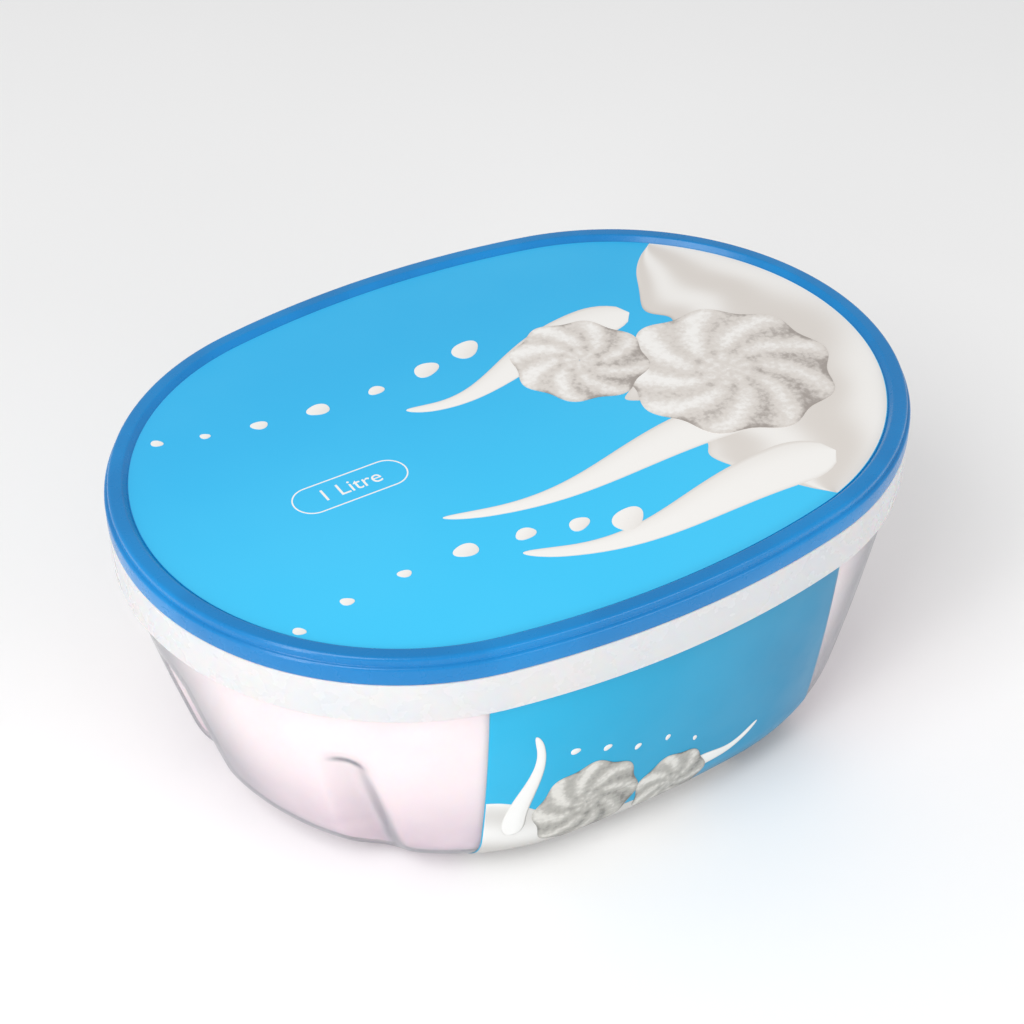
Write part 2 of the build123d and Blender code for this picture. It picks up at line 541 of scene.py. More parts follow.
@dataclass(frozen=True)
class ClearWall:
    """Clear to milky wall of the tub: see-through face on, denser edge on, and grey edge on by
    painted shade.
    """

    milk: Colour = linear(240, 236, 240)
    # painted shade: the grey that the wall's colour turns to edge on
    edge: Colour = linear(104, 108, 118)
    face_cover: float = 0.2
    edge_cover: float = 0.95
    edge_shade_span: tuple[float, float] = (0.5, 0.86)
    thickening: tuple[float, float] = (0.55, 0.88)

    def build(self) -> bpy.types.Material:
        """Thin plastic whose cover grows towards grazing view, as in moulded walls, with a painted
        shade that greys its colour there.
        """
        nodes = Nodes("clear_wall")
        facing = nodes.add("ShaderNodeLayerWeight")
        facing.inputs["Blend"].default_value = 0.5
        # painted shade: the colour greys towards grazing view
        edge_shade = nodes.remap(facing.outputs["Facing"], self.edge_shade_span, DEEP_TO_PALE)
        nodes.link(nodes.mix(edge_shade, self.milk, self.edge), nodes.shader.inputs["Base Color"])
        covers = (self.face_cover, self.edge_cover)
        cover = nodes.remap(facing.outputs["Facing"], self.thickening, covers)
        nodes.link(cover, nodes.shader.inputs["Alpha"])
        nodes.rough(180.0, 0.16, 0.24)
        nodes.set(Specular_IOR_Level=0.5, Coat_Weight=0.3, Coat_Roughness=0.1)
        return nodes.material


@dataclass(frozen=True)
class MilkyCollar:
    """Milky polypropylene of the collar and neck, where no contents lie behind."""

    base: Colour = linear(220, 217, 220)
    warm: Colour = linear(226, 218, 218)
    cover: float = 0.93

    def build(self) -> bpy.types.Material:
        """Pale milk with faint warm mottling and some light coming through."""
        nodes = Nodes("milky_collar")
        mottling = nodes.remap(nodes.noise(90.0), (0.35, 0.65), DEEP_TO_PALE)
        colour = nodes.mix(mottling, self.base, self.warm)
        nodes.link(colour, nodes.shader.inputs["Base Color"])
        nodes.rough(160.0, 0.22, 0.32)
        nodes.set(Alpha=self.cover, Specular_IOR_Level=0.5)
        nodes.set(Subsurface_Weight=0.35, Subsurface_Scale=0.004)
        return nodes.material


@dataclass(frozen=True)
class FrozenCream:
    """Pinkish-white ice cream against the wall, with painted shade: darker mauve towards the foot,
    where the wall turns under.
    """

    top: Colour = linear(247, 234, 236)
    # painted shade: the darker mauve at the foot
    foot: Colour = linear(196, 176, 190)
    spot: Colour = linear(240, 222, 224)
    shading: tuple[float, float] = (0.004, 0.040)

    def build(self) -> bpy.types.Material:
        """Colour by height as painted shade, darker towards the foot, with soft mottling, and a faint
        frosty relief.
        """
        nodes = Nodes("frozen_cream")
        # painted shade: the colour darkens by height from top to foot
        rise = nodes.remap(nodes.axis("Z"), self.shading, DEEP_TO_PALE)
        body = nodes.mix(rise, self.foot, self.top)
        spots = nodes.remap(nodes.noise(140.0, 5.0), (0.3, 0.75), (0.0, 0.35))
        nodes.link(nodes.mix(spots, body, self.spot), nodes.shader.inputs["Base Color"])
        nodes.rough(300.0, 0.5, 0.7)
        nodes.set(Subsurface_Weight=0.3, Subsurface_Scale=0.006)
        nodes.bump(nodes.noise(420.0, 6.0), 0.12, 0.0004)
        return nodes.material


@dataclass(frozen=True)
class PrintedGround:
    """Glossy blue printed film, with painted light and shade as a tint that runs from one to another
    along an axis.
    """

    name: str
    first: Colour
    second: Colour
    along: str
    span: tuple[float, float]
    foot_shade: tuple[float, float] | None = None
    cloud: Colour = linear(88, 205, 246)
    # painted shadow: near-black blue at a side film's foot
    painted_foot_shadow: Colour = linear(6, 40, 62)

    def build(self) -> bpy.types.Material:
        """Two tints blended along the axis as painted light and shade; a film on the side also gets a
        painted shadow towards its foot.
        """
        nodes = Nodes(self.name)
        # painted light and shade: the tint runs from one to the other along the axis
        share = nodes.remap(nodes.axis(self.along), self.span, DEEP_TO_PALE)
        colour = nodes.mix(share, self.first, self.second)
        drift = nodes.remap(nodes.noise(18.0), (0.35, 0.7), (0.0, 0.14))
        colour = nodes.mix(drift, colour, self.cloud)
        if self.foot_shade is not None:
            # painted shadow towards the foot
            low = nodes.remap(nodes.axis("Z"), self.foot_shade, (0.85, 0.0))
            colour = nodes.mix(low, colour, self.painted_foot_shadow)
        nodes.link(colour, nodes.shader.inputs["Base Color"])
        nodes.rough(120.0, 0.3, 0.38)
        nodes.set(Specular_IOR_Level=0.35)
        nodes.bump(nodes.noise(900.0), 0.03, 0.0001)
        return nodes.material


@dataclass(frozen=True)
class PrintedCream:
    """White, cream and grey-beige inks of the printed shapes, mixed by the shapes' own tone."""

    name: str
    light: Colour = linear(240, 238, 235)
    middle: Colour = linear(216, 210, 204)
    deep: Colour = linear(160, 152, 146)
    grain: float = 0.0

    def build(self) -> bpy.types.Material:
        """Ink between deep, middle and light by tone, with optional speckle."""
        nodes = Nodes(self.name)
        tone = nodes.add("ShaderNodeAttribute", attribute_name="tone").outputs["Fac"]
        speckle = nodes.remap(nodes.noise(900.0, 6.0), MIDDLE_NOISE, (-self.grain, self.grain))
        total = nodes.add("ShaderNodeMath", operation="ADD")
        nodes.link(tone, total.inputs[0])
        nodes.link(speckle, total.inputs[1])
        rise = nodes.remap(total.outputs[0], (0.0, 0.5), DEEP_TO_PALE)
        lower = nodes.mix(rise, self.deep, self.middle)
        upper = nodes.remap(total.outputs[0], (0.45, 1.0), DEEP_TO_PALE)
        nodes.link(nodes.mix(upper, lower, self.light), nodes.shader.inputs["Base Color"])
        nodes.set(Roughness=0.34, Specular_IOR_Level=0.35)
        return nodes.material


# ------------------------------------------------------------------ tub and contents


@dataclass
class Flutes:
    """Six grip flutes pressed into the ends, as rounded bars that lean with the wall."""

    sizes: TubSizes
    angles: tuple[float, ...] = (-44.0, 0.0, 44.0)
    radius: float = 7.6
    top_depth: float = 2.3
    foot_depth: float = 4.6
    top_height: float = 34.5
    softness: float = 0.9
    run_on: float = 0.5
    near: float = 6.0
    creep: float = 0.04

    def axes(self) -> list[tuple[np.ndarray, np.ndarray]]:
        """Axis of each bar, from its upper point to run_on of its length below the floor.

        Returns:
            Pairs of upper and lower point, in millimetres.
        """
        found = []
        for side in (1, -1):
            for angle in self.angles:
                way = np.array([side * math.cos(math.radians(angle)), math.sin(math.radians(angle))])
                ends = []
                for height, depth in ((self.top_height, self.top_depth), (0.0, self.foot_depth)):
                    length, _, radius = (float(v) for v in self.sizes.body_oval(height))
                    centre = np.array([side * (length - radius), 0.0])
                    ends.append(np.append(centre + way * (radius + self.radius - depth), height))
                found.append((ends[0], ends[1] + (ends[1] - ends[0]) * self.run_on))
        return found

    def press(self, points: np.ndarray, normals: np.ndarray, growth: float) -> np.ndarray:
        """Points of the wall moved in where a bar reaches into it.

        A point goes inwards by x, the bar's radius less its distance from the bar's axis. A smooth
        maximum with zero, 0.5 * (x + sqrt(x^2 + softness^2)) less a little creep, rounds the
        edges. Points more than near outside a bar don't move.

        Args:
            points: wall points, last axis x, y, z.
            normals: flat outward normals, last axis x, y.
            growth: how much thicker the bars are for an inner face.
        Returns:
            The moved points.
        """
        depth = np.zeros(points.shape[:-1])
        for top, foot in self.axes():
            run = foot - top
            share = np.clip(((points - top) @ run) / (run @ run), 0, 1)
            apart = np.linalg.norm(points - (top + share[..., None] * run), axis=-1)
            reach = self.radius + growth - apart
            depth += 0.5 * (reach + np.sqrt(reach**2 + self.softness**2)) * (reach > -self.near)
        depth = np.maximum(depth - self.creep, 0)
        moved = points.copy()
        moved[..., :2] -= normals * depth[..., None]
        return moved


@dataclass
class Tub:
    """The thin-walled tub: wall with grip flutes, neck, shelf and hanging collar, in one skin."""

    sizes: TubSizes
    flutes: Flutes
    around: int = 480
    collar_wall: float = 0.8
    collar_inset: float = 0.05
    shelf: float = 0.8
    edge: float = 0.3
    neck_top: float = 70.4
    neck_start: float = 0.5
    neck_end: float = 0.3
    turn_rings: int = 15
    bend_points: int = 6

    def wall_rows(self, inset: float, floor: float, level: float, rows: int = 48) -> np.ndarray:
        """Rings of the wall from the middle of the floor to a level.

        The floor's rings are the lowest outline scaled by a share of its size; the rounding's
        rings follow a quarter circle; the wall's rings follow body_oval.

        Args:
            inset: distance inwards from the outside face.
            floor: height of the floor.
            level: height of the last ring.
            rows: rings on the wall above the rounding.
        Returns:
            Grid of points, one row a ring, in millimetres.
        """
        sizes, angle = self.sizes, angles_round(self.sizes.lid_oval(), self.around)[None, :]
        radius = sizes.base_rounding - inset
        turn = np.linspace(0, math.pi / 2, self.turn_rings)[:, None]
        low = floor + radius * (1 - np.cos(turn))
        high = np.linspace(floor + radius, level, rows + 1)[1:, None]
        height = np.concatenate([low, high])
        taken = np.concatenate([radius * (1 - np.sin(turn)), np.zeros_like(high)])
        flat = oval_xy(sizes.body_oval(height), angle, inset + taken)
        raised = np.broadcast_to(height[..., None], (*flat.shape[:2], 1))
        points = np.concatenate([flat, raised], -1)
        normals = np.broadcast_to(np.stack([np.cos(angle), np.sin(angle)], -1), flat.shape)
        points = self.flutes.press(points, normals, inset)
        floor_rings = points[:1] * np.concatenate([RINGS_IN, RINGS_IN, np.ones_like(RINGS_IN)], -1)
        return np.concatenate([floor_rings, points])

    def neck_rows(self) -> np.ndarray:
        """Rings of the neck and collar: one section carried round the lid's outline.

        The section climbs the neck to the shelf, runs out and down the back of the collar, round
        its lower edge, up its face, in over the shelf, up the neck and down inside it. Each round
        edge is a quarter circle of the edge radius.

        Returns:
            Grid of points, one row a ring, in millimetres.
        """
        sizes, top = self.sizes, self.sizes.collar_top
        foot, edge, inset = sizes.body_height, self.edge, self.collar_inset
        neck, bore = sizes.neck_inset, sizes.neck_inset + sizes.wall
        inside = inset + self.collar_wall
        bend = np.linspace(0, math.pi / 2, self.bend_points)
        sine, cosine = edge * np.sin(bend), edge * np.cos(bend)
        section = np.concatenate([
            [(neck, foot + self.neck_start), (neck, top - self.shelf)],
            [(inside, top - self.shelf), (inside, foot + edge)],
            np.stack([inside - edge + cosine, foot + edge - sine], -1),
            np.stack([inset + edge - sine, foot + edge - cosine], -1),
            np.stack([inset + edge - cosine, top - edge + sine], -1),
            [(neck, top), (neck, self.neck_top)],
            [(bore, self.neck_top), (bore, foot + self.neck_end)],
        ])
        angle = angles_round(sizes.lid_oval(), self.around)[None, :]
        flat = oval_xy(sizes.lid_oval(), angle, section[:, :1])
        height = np.broadcast_to(section[:, 1, None, None], (*flat.shape[:2], 1))
        return np.concatenate([flat, height], -1)

    def build(self, wall: bpy.types.Material, milk: bpy.types.Material) -> None:
        """Makes the tub in one closed skin: clear up to the collar, milky from there.

        Args:
            wall: finish of the wall.
            milk: finish of the collar and neck.
        """
        sizes = self.sizes
        outer = self.wall_rows(0.0, 0.0, sizes.body_height)
        inner = self.wall_rows(sizes.wall, sizes.floor, sizes.body_height)[::-1]
        neck = self.neck_rows()
        grid = np.concatenate([outer, neck, inner])
        piece = Shape.shell(grid).piece("tub_shell", wall, Slot.TUB)
        piece.data.materials.append(milk)
        ring = np.arange(grid.shape[0] - 1).repeat(self.around)
        clear = (ring < len(outer) - 1) | (ring >= len(outer) + len(neck))
        marks = np.zeros(len(piece.data.polygons), np.int32)
        marks[: len(ring)] = np.where(clear, 0, 1)
        piece.data.polygons.foreach_set("material_index", marks)
        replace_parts(piece, "tub")


@dataclass
class Contents:
    """The ice cream, which reaches just into the wall so that no air gap shows."""

    tub: Tub
    bite: float = 0.15
    ripple: float = 0.5
    ripple_runs: tuple[float, float] = (9.0, 11.0)

    def build(self, finish: bpy.types.Material) -> None:
        """Makes the body of ice cream with a softly rippled top.

        The top's height varies by ripple * sin(x / first run) * cos(y / second run).

        Args:
            finish: its material.
        """
        sizes = self.tub.sizes
        level = sizes.collar_top - sizes.headspace
        wall, floor = sizes.wall - self.bite, sizes.floor - self.bite
        body = self.tub.wall_rows(wall, floor, sizes.body_height)
        angle = angles_round(sizes.lid_oval(), self.tub.around)[None, :]
        rim = oval_xy(sizes.lid_oval(), angle, np.full((1, 1), sizes.neck_inset + wall))
        upright = np.concatenate([rim, np.full((*rim.shape[:2], 1), level)], -1)
        share = RINGS_IN[::-1]
        top = upright * np.concatenate([share, share, np.ones_like(share)], -1)
        run_x, run_y = self.ripple_runs
        top[..., 2] += self.ripple * np.sin(top[..., 0] / run_x) * np.cos(top[..., 1] / run_y)
        shape = Shape.shell(np.concatenate([body, upright, top]))
        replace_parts(shape.piece("ice_cream_body", finish, Slot.CONTENTS), "ice_cream")


# ------------------------------------------------------------------ lid


@dataclass
class Lid:
    """Lid in one skin: sunk panel, slope, crest, two-tier rim, snap ridge and plug ring."""

    sizes: TubSizes
    around: int = 720
    tier_height: float = 4.2
    tier_step: float = 0.8
    rim_slope: float = 1.05
    skirt_wall: float = 1.2
    crest_wall: float = 1.0
    panel_wall: float = 0.9
    snap: float = 0.33
    snap_heights: tuple[float, float, float] = (0.85, 1.55, 1.95)
    skirt_drop: float = 0.4
    plug_inset: float = 2.79
    plug_wall: float = 0.9
    plug_depth: float = 1.3
    panel_reach: float = 30.0
    fine: float = 0.1
    soft: float = 0.2
    plug_round: float = 0.15
    panel_round: float = 0.25
    foot_round: float = 0.3
    crest_rounds: tuple[float, float] = (0.7, 0.8)
    tier_round: float = 0.72

    def section(self) -> np.ndarray:
        """Section from the middle of the panel's top, over the rim, to the middle of its underside.

        Points are (distance in from the outline, height above the lid's foot); each corner with a
        radius is replaced by points on its arc.

        Returns:
            Rows of distance and height, in millimetres.
        """
        sizes, crest = self.sizes, self.sizes.lid_height
        panel = crest - sizes.panel_sink
        under = panel - self.panel_wall
        skirt, ridge = self.skirt_wall, self.skirt_wall + self.snap
        plug_out, plug_in = self.plug_inset, self.plug_inset + self.plug_wall
        plug_foot = under - self.plug_depth
        ridge_foot, ridge_top, ridge_end = self.snap_heights
        crest_in, crest_out = self.crest_rounds
        corners = [
            (self.panel_reach, panel, 0),
            (sizes.rim_width, panel, self.panel_round),
            (sizes.rim_width - self.rim_slope, crest, crest_in),
            (self.tier_step, crest, crest_out),
            (self.tier_step, self.tier_height, self.soft),
            (0.0, self.tier_height, self.tier_round),
            (0.0, 0.0, self.foot_round),
            (skirt, 0.0, self.soft),
            (ridge, ridge_foot, self.soft),
            (ridge, ridge_top, self.soft),
            (skirt, ridge_end, self.soft),
            (skirt, self.tier_height - self.skirt_drop, self.soft),
            (ridge, crest - self.crest_wall, self.fine),
            (plug_out, crest - self.crest_wall, self.fine),
            (plug_out, plug_foot, self.plug_round),
            (plug_in, plug_foot, self.plug_round),
            (plug_in, under, self.fine),
            (self.panel_reach, under, 0),
        ]
        return rounded(np.array(corners))

    def build(self, finish: bpy.types.Material) -> None:
        """Carries the section round the lid's outline and closes it over the panel.

        Args:
            finish: its material.
        """
        section = self.section()
        angle = angles_round(self.sizes.lid_oval(), self.around)[None, :]
        flat = oval_xy(self.sizes.lid_oval(), angle, section[:, :1])
        raised = section[:, 1, None, None] + self.sizes.lid_foot
        grid = np.concatenate([flat, np.broadcast_to(raised, (*flat.shape[:2], 1))], -1)[::-1]
        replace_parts(Shape.shell(grid).piece("lid_shell", finish, Slot.LID), "lid")


def toward(here: np.ndarray, there: np.ndarray) -> np.ndarray:
    """Unit vector from one point to another."""
    return (there - here) / np.linalg.norm(there - here)


def rounded(corners: np.ndarray, steps: int = 7) -> np.ndarray:
    """Replaces each corner that has a radius by points on the arc that touches both its sides.

    The arc's centre lies on the corner's bisector, radius / sin(half the corner's angle) away.

    Args:
        corners: rows of x, y and radius, the first and last kept as they are.
        steps: points on each arc.
    Returns:
        Rows of x and y.
    """
    out = [corners[0, :2]]
    for before, here, after in zip(corners[:-2], corners[1:-1], corners[2:]):
        corner, radius = here[:2], here[2]
        back, on = toward(corner, before[:2]), toward(corner, after[:2])
        half = math.acos(float(np.clip(back @ on, -1, 1))) / 2
        reach = radius / math.tan(half)
        centre = corner + (back + on) / np.linalg.norm(back + on) * radius / math.sin(half)
        start, stop = corner + back * reach - centre, corner + on * reach - centre
        sweep = math.pi - 2 * half
        for share in np.linspace(0, 1, steps):
            first, second = math.sin((1 - share) * sweep), math.sin(share * sweep)
            out.append(centre + (start * first + stop * second) / math.sin(sweep))
    out.append(corners[-1, :2])
    return np.array(out)


# ------------------------------------------------------------------ printed films


class Surface:
    """Where a print lies: turns print coordinates and a lift into points."""

    def at(self, across: np.ndarray, up: np.ndarray, lift: float) -> np.ndarray:
        """Points for print coordinates, lifted off the surface.

        Args:
            across: coordinates to the viewer's right, in millimetres.
            up: coordinates upwards, in millimetres.
            lift: distance off the surface, in millimetres.
        Returns:
            Points, last axis x, y, z.
        """
        raise NotImplementedError


@dataclass
class Panel(Surface):
    """The lid's flat panel: across is X and up is Y."""

    sizes: TubSizes

    def at(self, across: np.ndarray, up: np.ndarray, lift: float) -> np.ndarray:
        """Points on the panel, lifted straight up."""
        return np.stack([across, up, np.full_like(across, self.sizes.panel_top + lift)], -1)


@dataclass
class Side(Surface):
    """A long side of the tub: across runs to the viewer's right and up is the height."""

    sizes: TubSizes
    way: Way

    def at(self, across: np.ndarray, up: np.ndarray, lift: float) -> np.ndarray:
        """Points on the wall, where y solves the side or end arc at that height for the given x.

        Args:
            across: coordinates to the viewer's right, in millimetres.
            up: heights above the floor, in millimetres.
            lift: distance off the wall, in millimetres.
        Returns:
            Points, last axis x, y, z.
        """
        sizes = self.sizes.body_oval(up)
        side, end_centre, side_centre, meet = oval_arcs(*sizes)
        inset = self.sizes.turn_under(up) - lift
        reach = np.abs(across)
        on_side = reach <= (side - inset) * np.cos(meet)
        side_y = np.sqrt(np.maximum((side - inset) ** 2 - reach**2, 0)) - side_centre
        end_y = np.sqrt(np.maximum((sizes[2] - inset) ** 2 - (reach - end_centre) ** 2, 0))
        out = np.where(on_side, side_y, end_y)
        return np.stack([-self.way.value * across, self.way.value * out, up], -1)


@dataclass
class Print:
    """A film and the shapes printed on it, as thin closed pieces on a surface."""

    surface: Surface
    film: float = 0.15
    ink: float = 0.03
    centre: float = 0.02
    wobble: tuple[float, int] = (0.06, 3)
    petal_swell: float = 0.045
    light_from: float = 2.3
    head: float = 0.1
    tail: float = 0.12
    blunt: float = 0.0004

    def patch(self, across: np.ndarray, up: np.ndarray, tone: np.ndarray, layer: int) -> Shape:
        """Thin piece over a grid of print coordinates, with its faces outwards.

        A grid that runs clockwise, which its signed area tells, is turned over first.

        Args:
            across: coordinates to the viewer's right, in millimetres.
            up: coordinates upwards, in millimetres.
            tone: tone of each point.
            layer: 0 for the film, higher for the inks on it.
        Returns:
            The piece.
        """
        right, rise = np.diff(across, axis=1)[:-1], np.diff(up, axis=0)[:, :-1]
        lean, drop = np.diff(across, axis=0)[:, :-1], np.diff(up, axis=1)[:-1]
        if (right * rise - lean * drop).sum() < 0:
            across, up, tone = across[::-1], up[::-1], tone[::-1]
        lift = self.film + self.ink * layer
        low = 0.0 if layer == 0 else self.film / 2
        return Shape.slab(self.surface.at(across, up, lift), self.surface.at(across, up, low), tone)

    def drop(
        self, middle: tuple[float, float], radii: tuple[float, float], turn: float, start: float
    ) -> Shape:
        """Drop of ink: an ellipse whose radius swells by size * cos(count * angle + start).

        Its tone falls from light on the upper left to a little deeper on the lower right.

        Args:
            middle: its middle, in print coordinates.
            radii: its two half widths.
            turn: how far it is turned, in radians.
            start: where its swelling starts, in radians.
        Returns:
            The piece.
        """
        share = np.linspace(self.centre, 1, 7)[:, None]
        angle = np.linspace(0, 2 * math.pi, 41)[None, :]
        size, count = self.wobble
        reach = share * (1 + size * np.cos(count * angle + start))
        x, y = radii[0] * reach * np.cos(angle), radii[1] * reach * np.sin(angle)
        cosine, sine = math.cos(turn), math.sin(turn)
        tone = 0.86 + 0.14 * share * np.cos(angle + turn - 2.2)
        across, up = middle[0] + x * cosine - y * sine, middle[1] + x * sine + y * cosine
        return self.patch(across, up, tone, DROP_LAYER)

    def rosette(
        self, middle: tuple[float, float], radius: float, petals: int, twist: float, layer: int
    ) -> Shape:
        """Swirl of piped cream seen from above.

        The outline is radius * (1 + petal_swell * cos(petals * angle)). The tone is a cosine
        ridge on petals * (angle + twist * share), deeper in the grooves, in a ring round the core,
        at the rim and towards the lower right.

        Args:
            middle: its middle, in print coordinates.
            radius: its radius.
            petals: how many ridges it has.
            twist: how far a ridge turns from middle to rim, in radians.
            layer: which ink it is.
        Returns:
            The piece.
        """
        share = np.linspace(self.centre / 2, 1, 60)[:, None]
        angle = np.linspace(0, 2 * math.pi, 20 * petals + 1)[None, :]
        ridge = np.cos(petals * (angle + twist * share))
        reach = radius * share * (1 + self.petal_swell * share * np.cos(petals * (angle + twist)))
        side = np.cos(angle - self.light_from)
        hollow = 0.5 + 0.5 * np.cos(math.pi * np.clip((share - 0.30) / 0.10, -1, 1))
        tone = 0.58 + 0.26 * ridge * np.minimum(1, 1.6 * share) + 0.2 * side * share - 0.16 * hollow
        tone = tone - 0.3 * np.clip((share - 0.93) / 0.07, 0, 1)
        across, up = middle[0] + reach * np.cos(angle), middle[1] + reach * np.sin(angle)
        return self.patch(across, up, np.clip(tone, 0, 1), layer)

    def ribbon(self, points: tuple[Spot, Spot, Spot, Spot], widths: tuple[float, float]) -> Shape:
        """Ribbon of poured cream along a cubic curve, with round ends.

        The half width shrinks from the first width to the second as a smooth step, and closes as
        a circle at both ends. The tone is light in the middle and deeper at the edges.

        Args:
            points: the curve's four control points, in print coordinates.
            widths: half widths at its start and end.
        Returns:
            The piece.
        """
        control = np.array(points)
        slowing = 0.94 + 0.06 * np.sin(np.linspace(0, math.pi / 2, 14)[1:])
        t = np.concatenate([np.linspace(0, 0.94, 50), slowing])[:, None]
        path = ((1 - t) ** 3 * control[0] + 3 * (1 - t) ** 2 * t * control[1]
                + 3 * (1 - t) * t**2 * control[2] + t**3 * control[3])
        along = np.gradient(path, axis=0)
        along /= np.linalg.norm(along, axis=1, keepdims=True)
        step = t * t * (3 - 2 * t)
        half = widths[0] + (widths[1] - widths[0]) * step
        for past in ((t - 1 + self.head) / self.head, (self.tail - t) / self.tail):
            half = half * np.sqrt(np.clip(1 - np.clip(past, 0, 1) ** 2, self.blunt, 1))
        offset = np.linspace(-1, 1, 13)[None, :]
        across = path[:, :1] - along[:, 1:] * half * offset
        up = path[:, 1:] + along[:, :1] * half * offset
        tone = 0.82 + 0.18 * np.cos(1.5 * (offset - 0.35)) - 0.22 * (np.abs(offset) > 0.93)
        return self.patch(across, up, np.broadcast_to(tone, across.shape), RIBBON_LAYER)


@dataclass(frozen=True)
class Inks:
    """The inks of one print: poured cream, piped swirls and plain white."""

    cream: bpy.types.Material
    swirl: bpy.types.Material
    white: bpy.types.Material


@dataclass
class LidPrint:
    """Blue film on the lid, a wave of cream, piped swirls, drops and the outlined volume."""

    sizes: TubSizes
    margin: float = 0.2
    around: int = 480
    wave_reach: float = 52.0
    wave_span: tuple[float, float] = (-1.28, 0.86)
    wave_fullness: float = 0.55
    wave_swells: tuple[float, float] = (0.2, 0.09)
    wave_runs: tuple[float, float] = (13.0, 31.0)
    wave_phase: float = 0.4
    wave_gap: float = 0.15
    drop_rows: tuple[tuple[float, float], ...] = ((-40.0, 1.0), (33.0, -0.8))
    drop_count: int = 7
    drop_start: float = 2.0
    drop_run: float = 70.0
    drop_sizes: tuple[float, float] = (2.6, 0.9)
    volume_words: str = "1 Litre"
    volume_place: tuple[float, float] = (-41.0, -1.0)
    volume_height: float = 5.4
    pill_half: float = 13.0
    pill_radius: float = 4.3
    pill_line: float = 0.32
    weld: float = 0.0005

    def film(self, finish: bpy.types.Material) -> None:
        """Makes the film: rings of the panel's outline drawn in towards its middle.

        Args:
            finish: its material.
        """
        angle = angles_round(self.sizes.lid_oval(), self.around)[None, :]
        inset = np.full((1, 1), self.sizes.rim_width + self.margin)
        outline = oval_xy(self.sizes.lid_oval(), angle, inset)
        share = np.array([0.02, 0.25, 0.5, 0.75, 0.9, 1.0])[:, None]
        across, up = outline[..., 0] * share, outline[..., 1] * share
        print_ = Print(Panel(self.sizes))
        front = print_.surface.at(across, up, print_.film)
        back = print_.surface.at(across, up, 0.0)
        shape = Shape.shell(np.concatenate([back, front[::-1]]))
        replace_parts(shape.piece("lid_film", finish, Slot.PRINT, smooth=False), "lid_print")

    def wave(self, print_: Print) -> Shape:
        """Wave of cream that fills the right end up to a rolling edge.

        From the panel's edge it runs in by reach * sin(pi * s)^fullness * (1 + big swell *
        sin(long run * s + phase) + small swell * sin(short run * s)), where s goes from 0 to 1
        round the end. The tone has soft folds that follow the edge.

        Args:
            print_: the print that it belongs to.
        Returns:
            The piece.
        """
        s = np.linspace(0, 1, 240)[None, :]
        t = np.linspace(0, 1, 40)[:, None]
        angle = self.wave_span[0] + (self.wave_span[1] - self.wave_span[0]) * s
        inset = np.full((1, 1), self.sizes.rim_width + self.margin + self.wave_gap)
        edge = oval_xy(self.sizes.lid_oval(), angle, inset)[0]
        (big, small), (long, short) = self.wave_swells, self.wave_runs
        rolling = np.sin(long * s + self.wave_phase)
        depth = self.wave_reach * np.sin(np.pi * s[0]) ** self.wave_fullness
        depth = depth * (1 + big * rolling[0] + small * np.sin(short * s[0]))
        way = np.stack([np.cos(angle[0] * 0.6), np.sin(angle[0] * 0.6)], -1)
        inner = edge - way * depth[:, None]
        across = edge[None, :, 0] + (inner[None, :, 0] - edge[None, :, 0]) * t
        up = edge[None, :, 1] + (inner[None, :, 1] - edge[None, :, 1]) * t
        fold = np.cos(2 * np.pi * (1.7 * t + 0.16 * rolling))
        tone = 0.68 + 0.2 * fold - 0.25 * np.clip((t - 0.965) / 0.035, 0, 1)
        return print_.patch(across, up, np.clip(tone, 0, 1), WAVE_LAYER)

    def drops(self, print_: Print) -> list[Shape]:
        """Drops that trail off from the wave in two shallow arcs, smaller with distance.

        Along a row, x falls by drop_run with a small sine in it, y follows a sine of its own and
        the size shrinks in a straight line, made uneven by a cosine of the drop's number.

        Args:
            print_: the print that they belong to.
        Returns:
            The drops.
        """
        shapes = []
        first, last = self.drop_sizes
        for row, (start, spread) in enumerate(self.drop_rows):
            for index in range(self.drop_count):
                share = index / (self.drop_count - 1)
                x = self.drop_start - self.drop_run * share + 3.0 * math.sin(5 * share + row)
                y = start + spread * 9.0 * math.sin(2.6 * share + 0.6 * row)
                size = (first - (first - last) * share) * (1 + 0.25 * math.cos(4.1 * index + row))
                radii = (size * 1.25, size * 0.9)
                shapes.append(print_.drop((x, y), radii, 0.5 - 1.2 * share, index))
        return shapes

    def build(self, ground: bpy.types.Material, inks: Inks) -> None:
        """Makes the film and everything printed on it.

        Args:
            ground: the film's material.
            inks: the inks of the shapes.
        """
        self.film(ground)
        print_ = Print(Panel(self.sizes))
        poured = [
            self.wave(print_),
            print_.ribbon(((52, -44), (20, -38), (4, -54), (-22, -38)), (7.0, 1.5)),
            print_.ribbon(((44, 22), (14, 28), (2, 6), (-18, 16)), (6.0, 1.3)),
            print_.ribbon(((56, -24), (16, -16), (2, -34), (-30, -20)), (6.5, 1.2)),
        ]
        swirls = [
            print_.rosette((50.0, -8.0), 23.0, 9, 0.9, SWIRL_LAYER),
            print_.rosette((24.0, 12.0), 15.0, 8, -0.9, SWIRL_LAYER + 1),
        ]
        drops = self.drops(print_)
        Shape.joined(poured).piece("lid_cream_wave", inks.cream, Slot.PRINT, smooth=False)
        Shape.joined(drops).piece("lid_cream_drops", inks.cream, Slot.PRINT, smooth=False)
        Shape.joined(swirls).piece("lid_cream_swirls", inks.swirl, Slot.PRINT, smooth=False)
        self.volume_outline(print_, inks.white)
        self.volume_text(print_, inks.white)

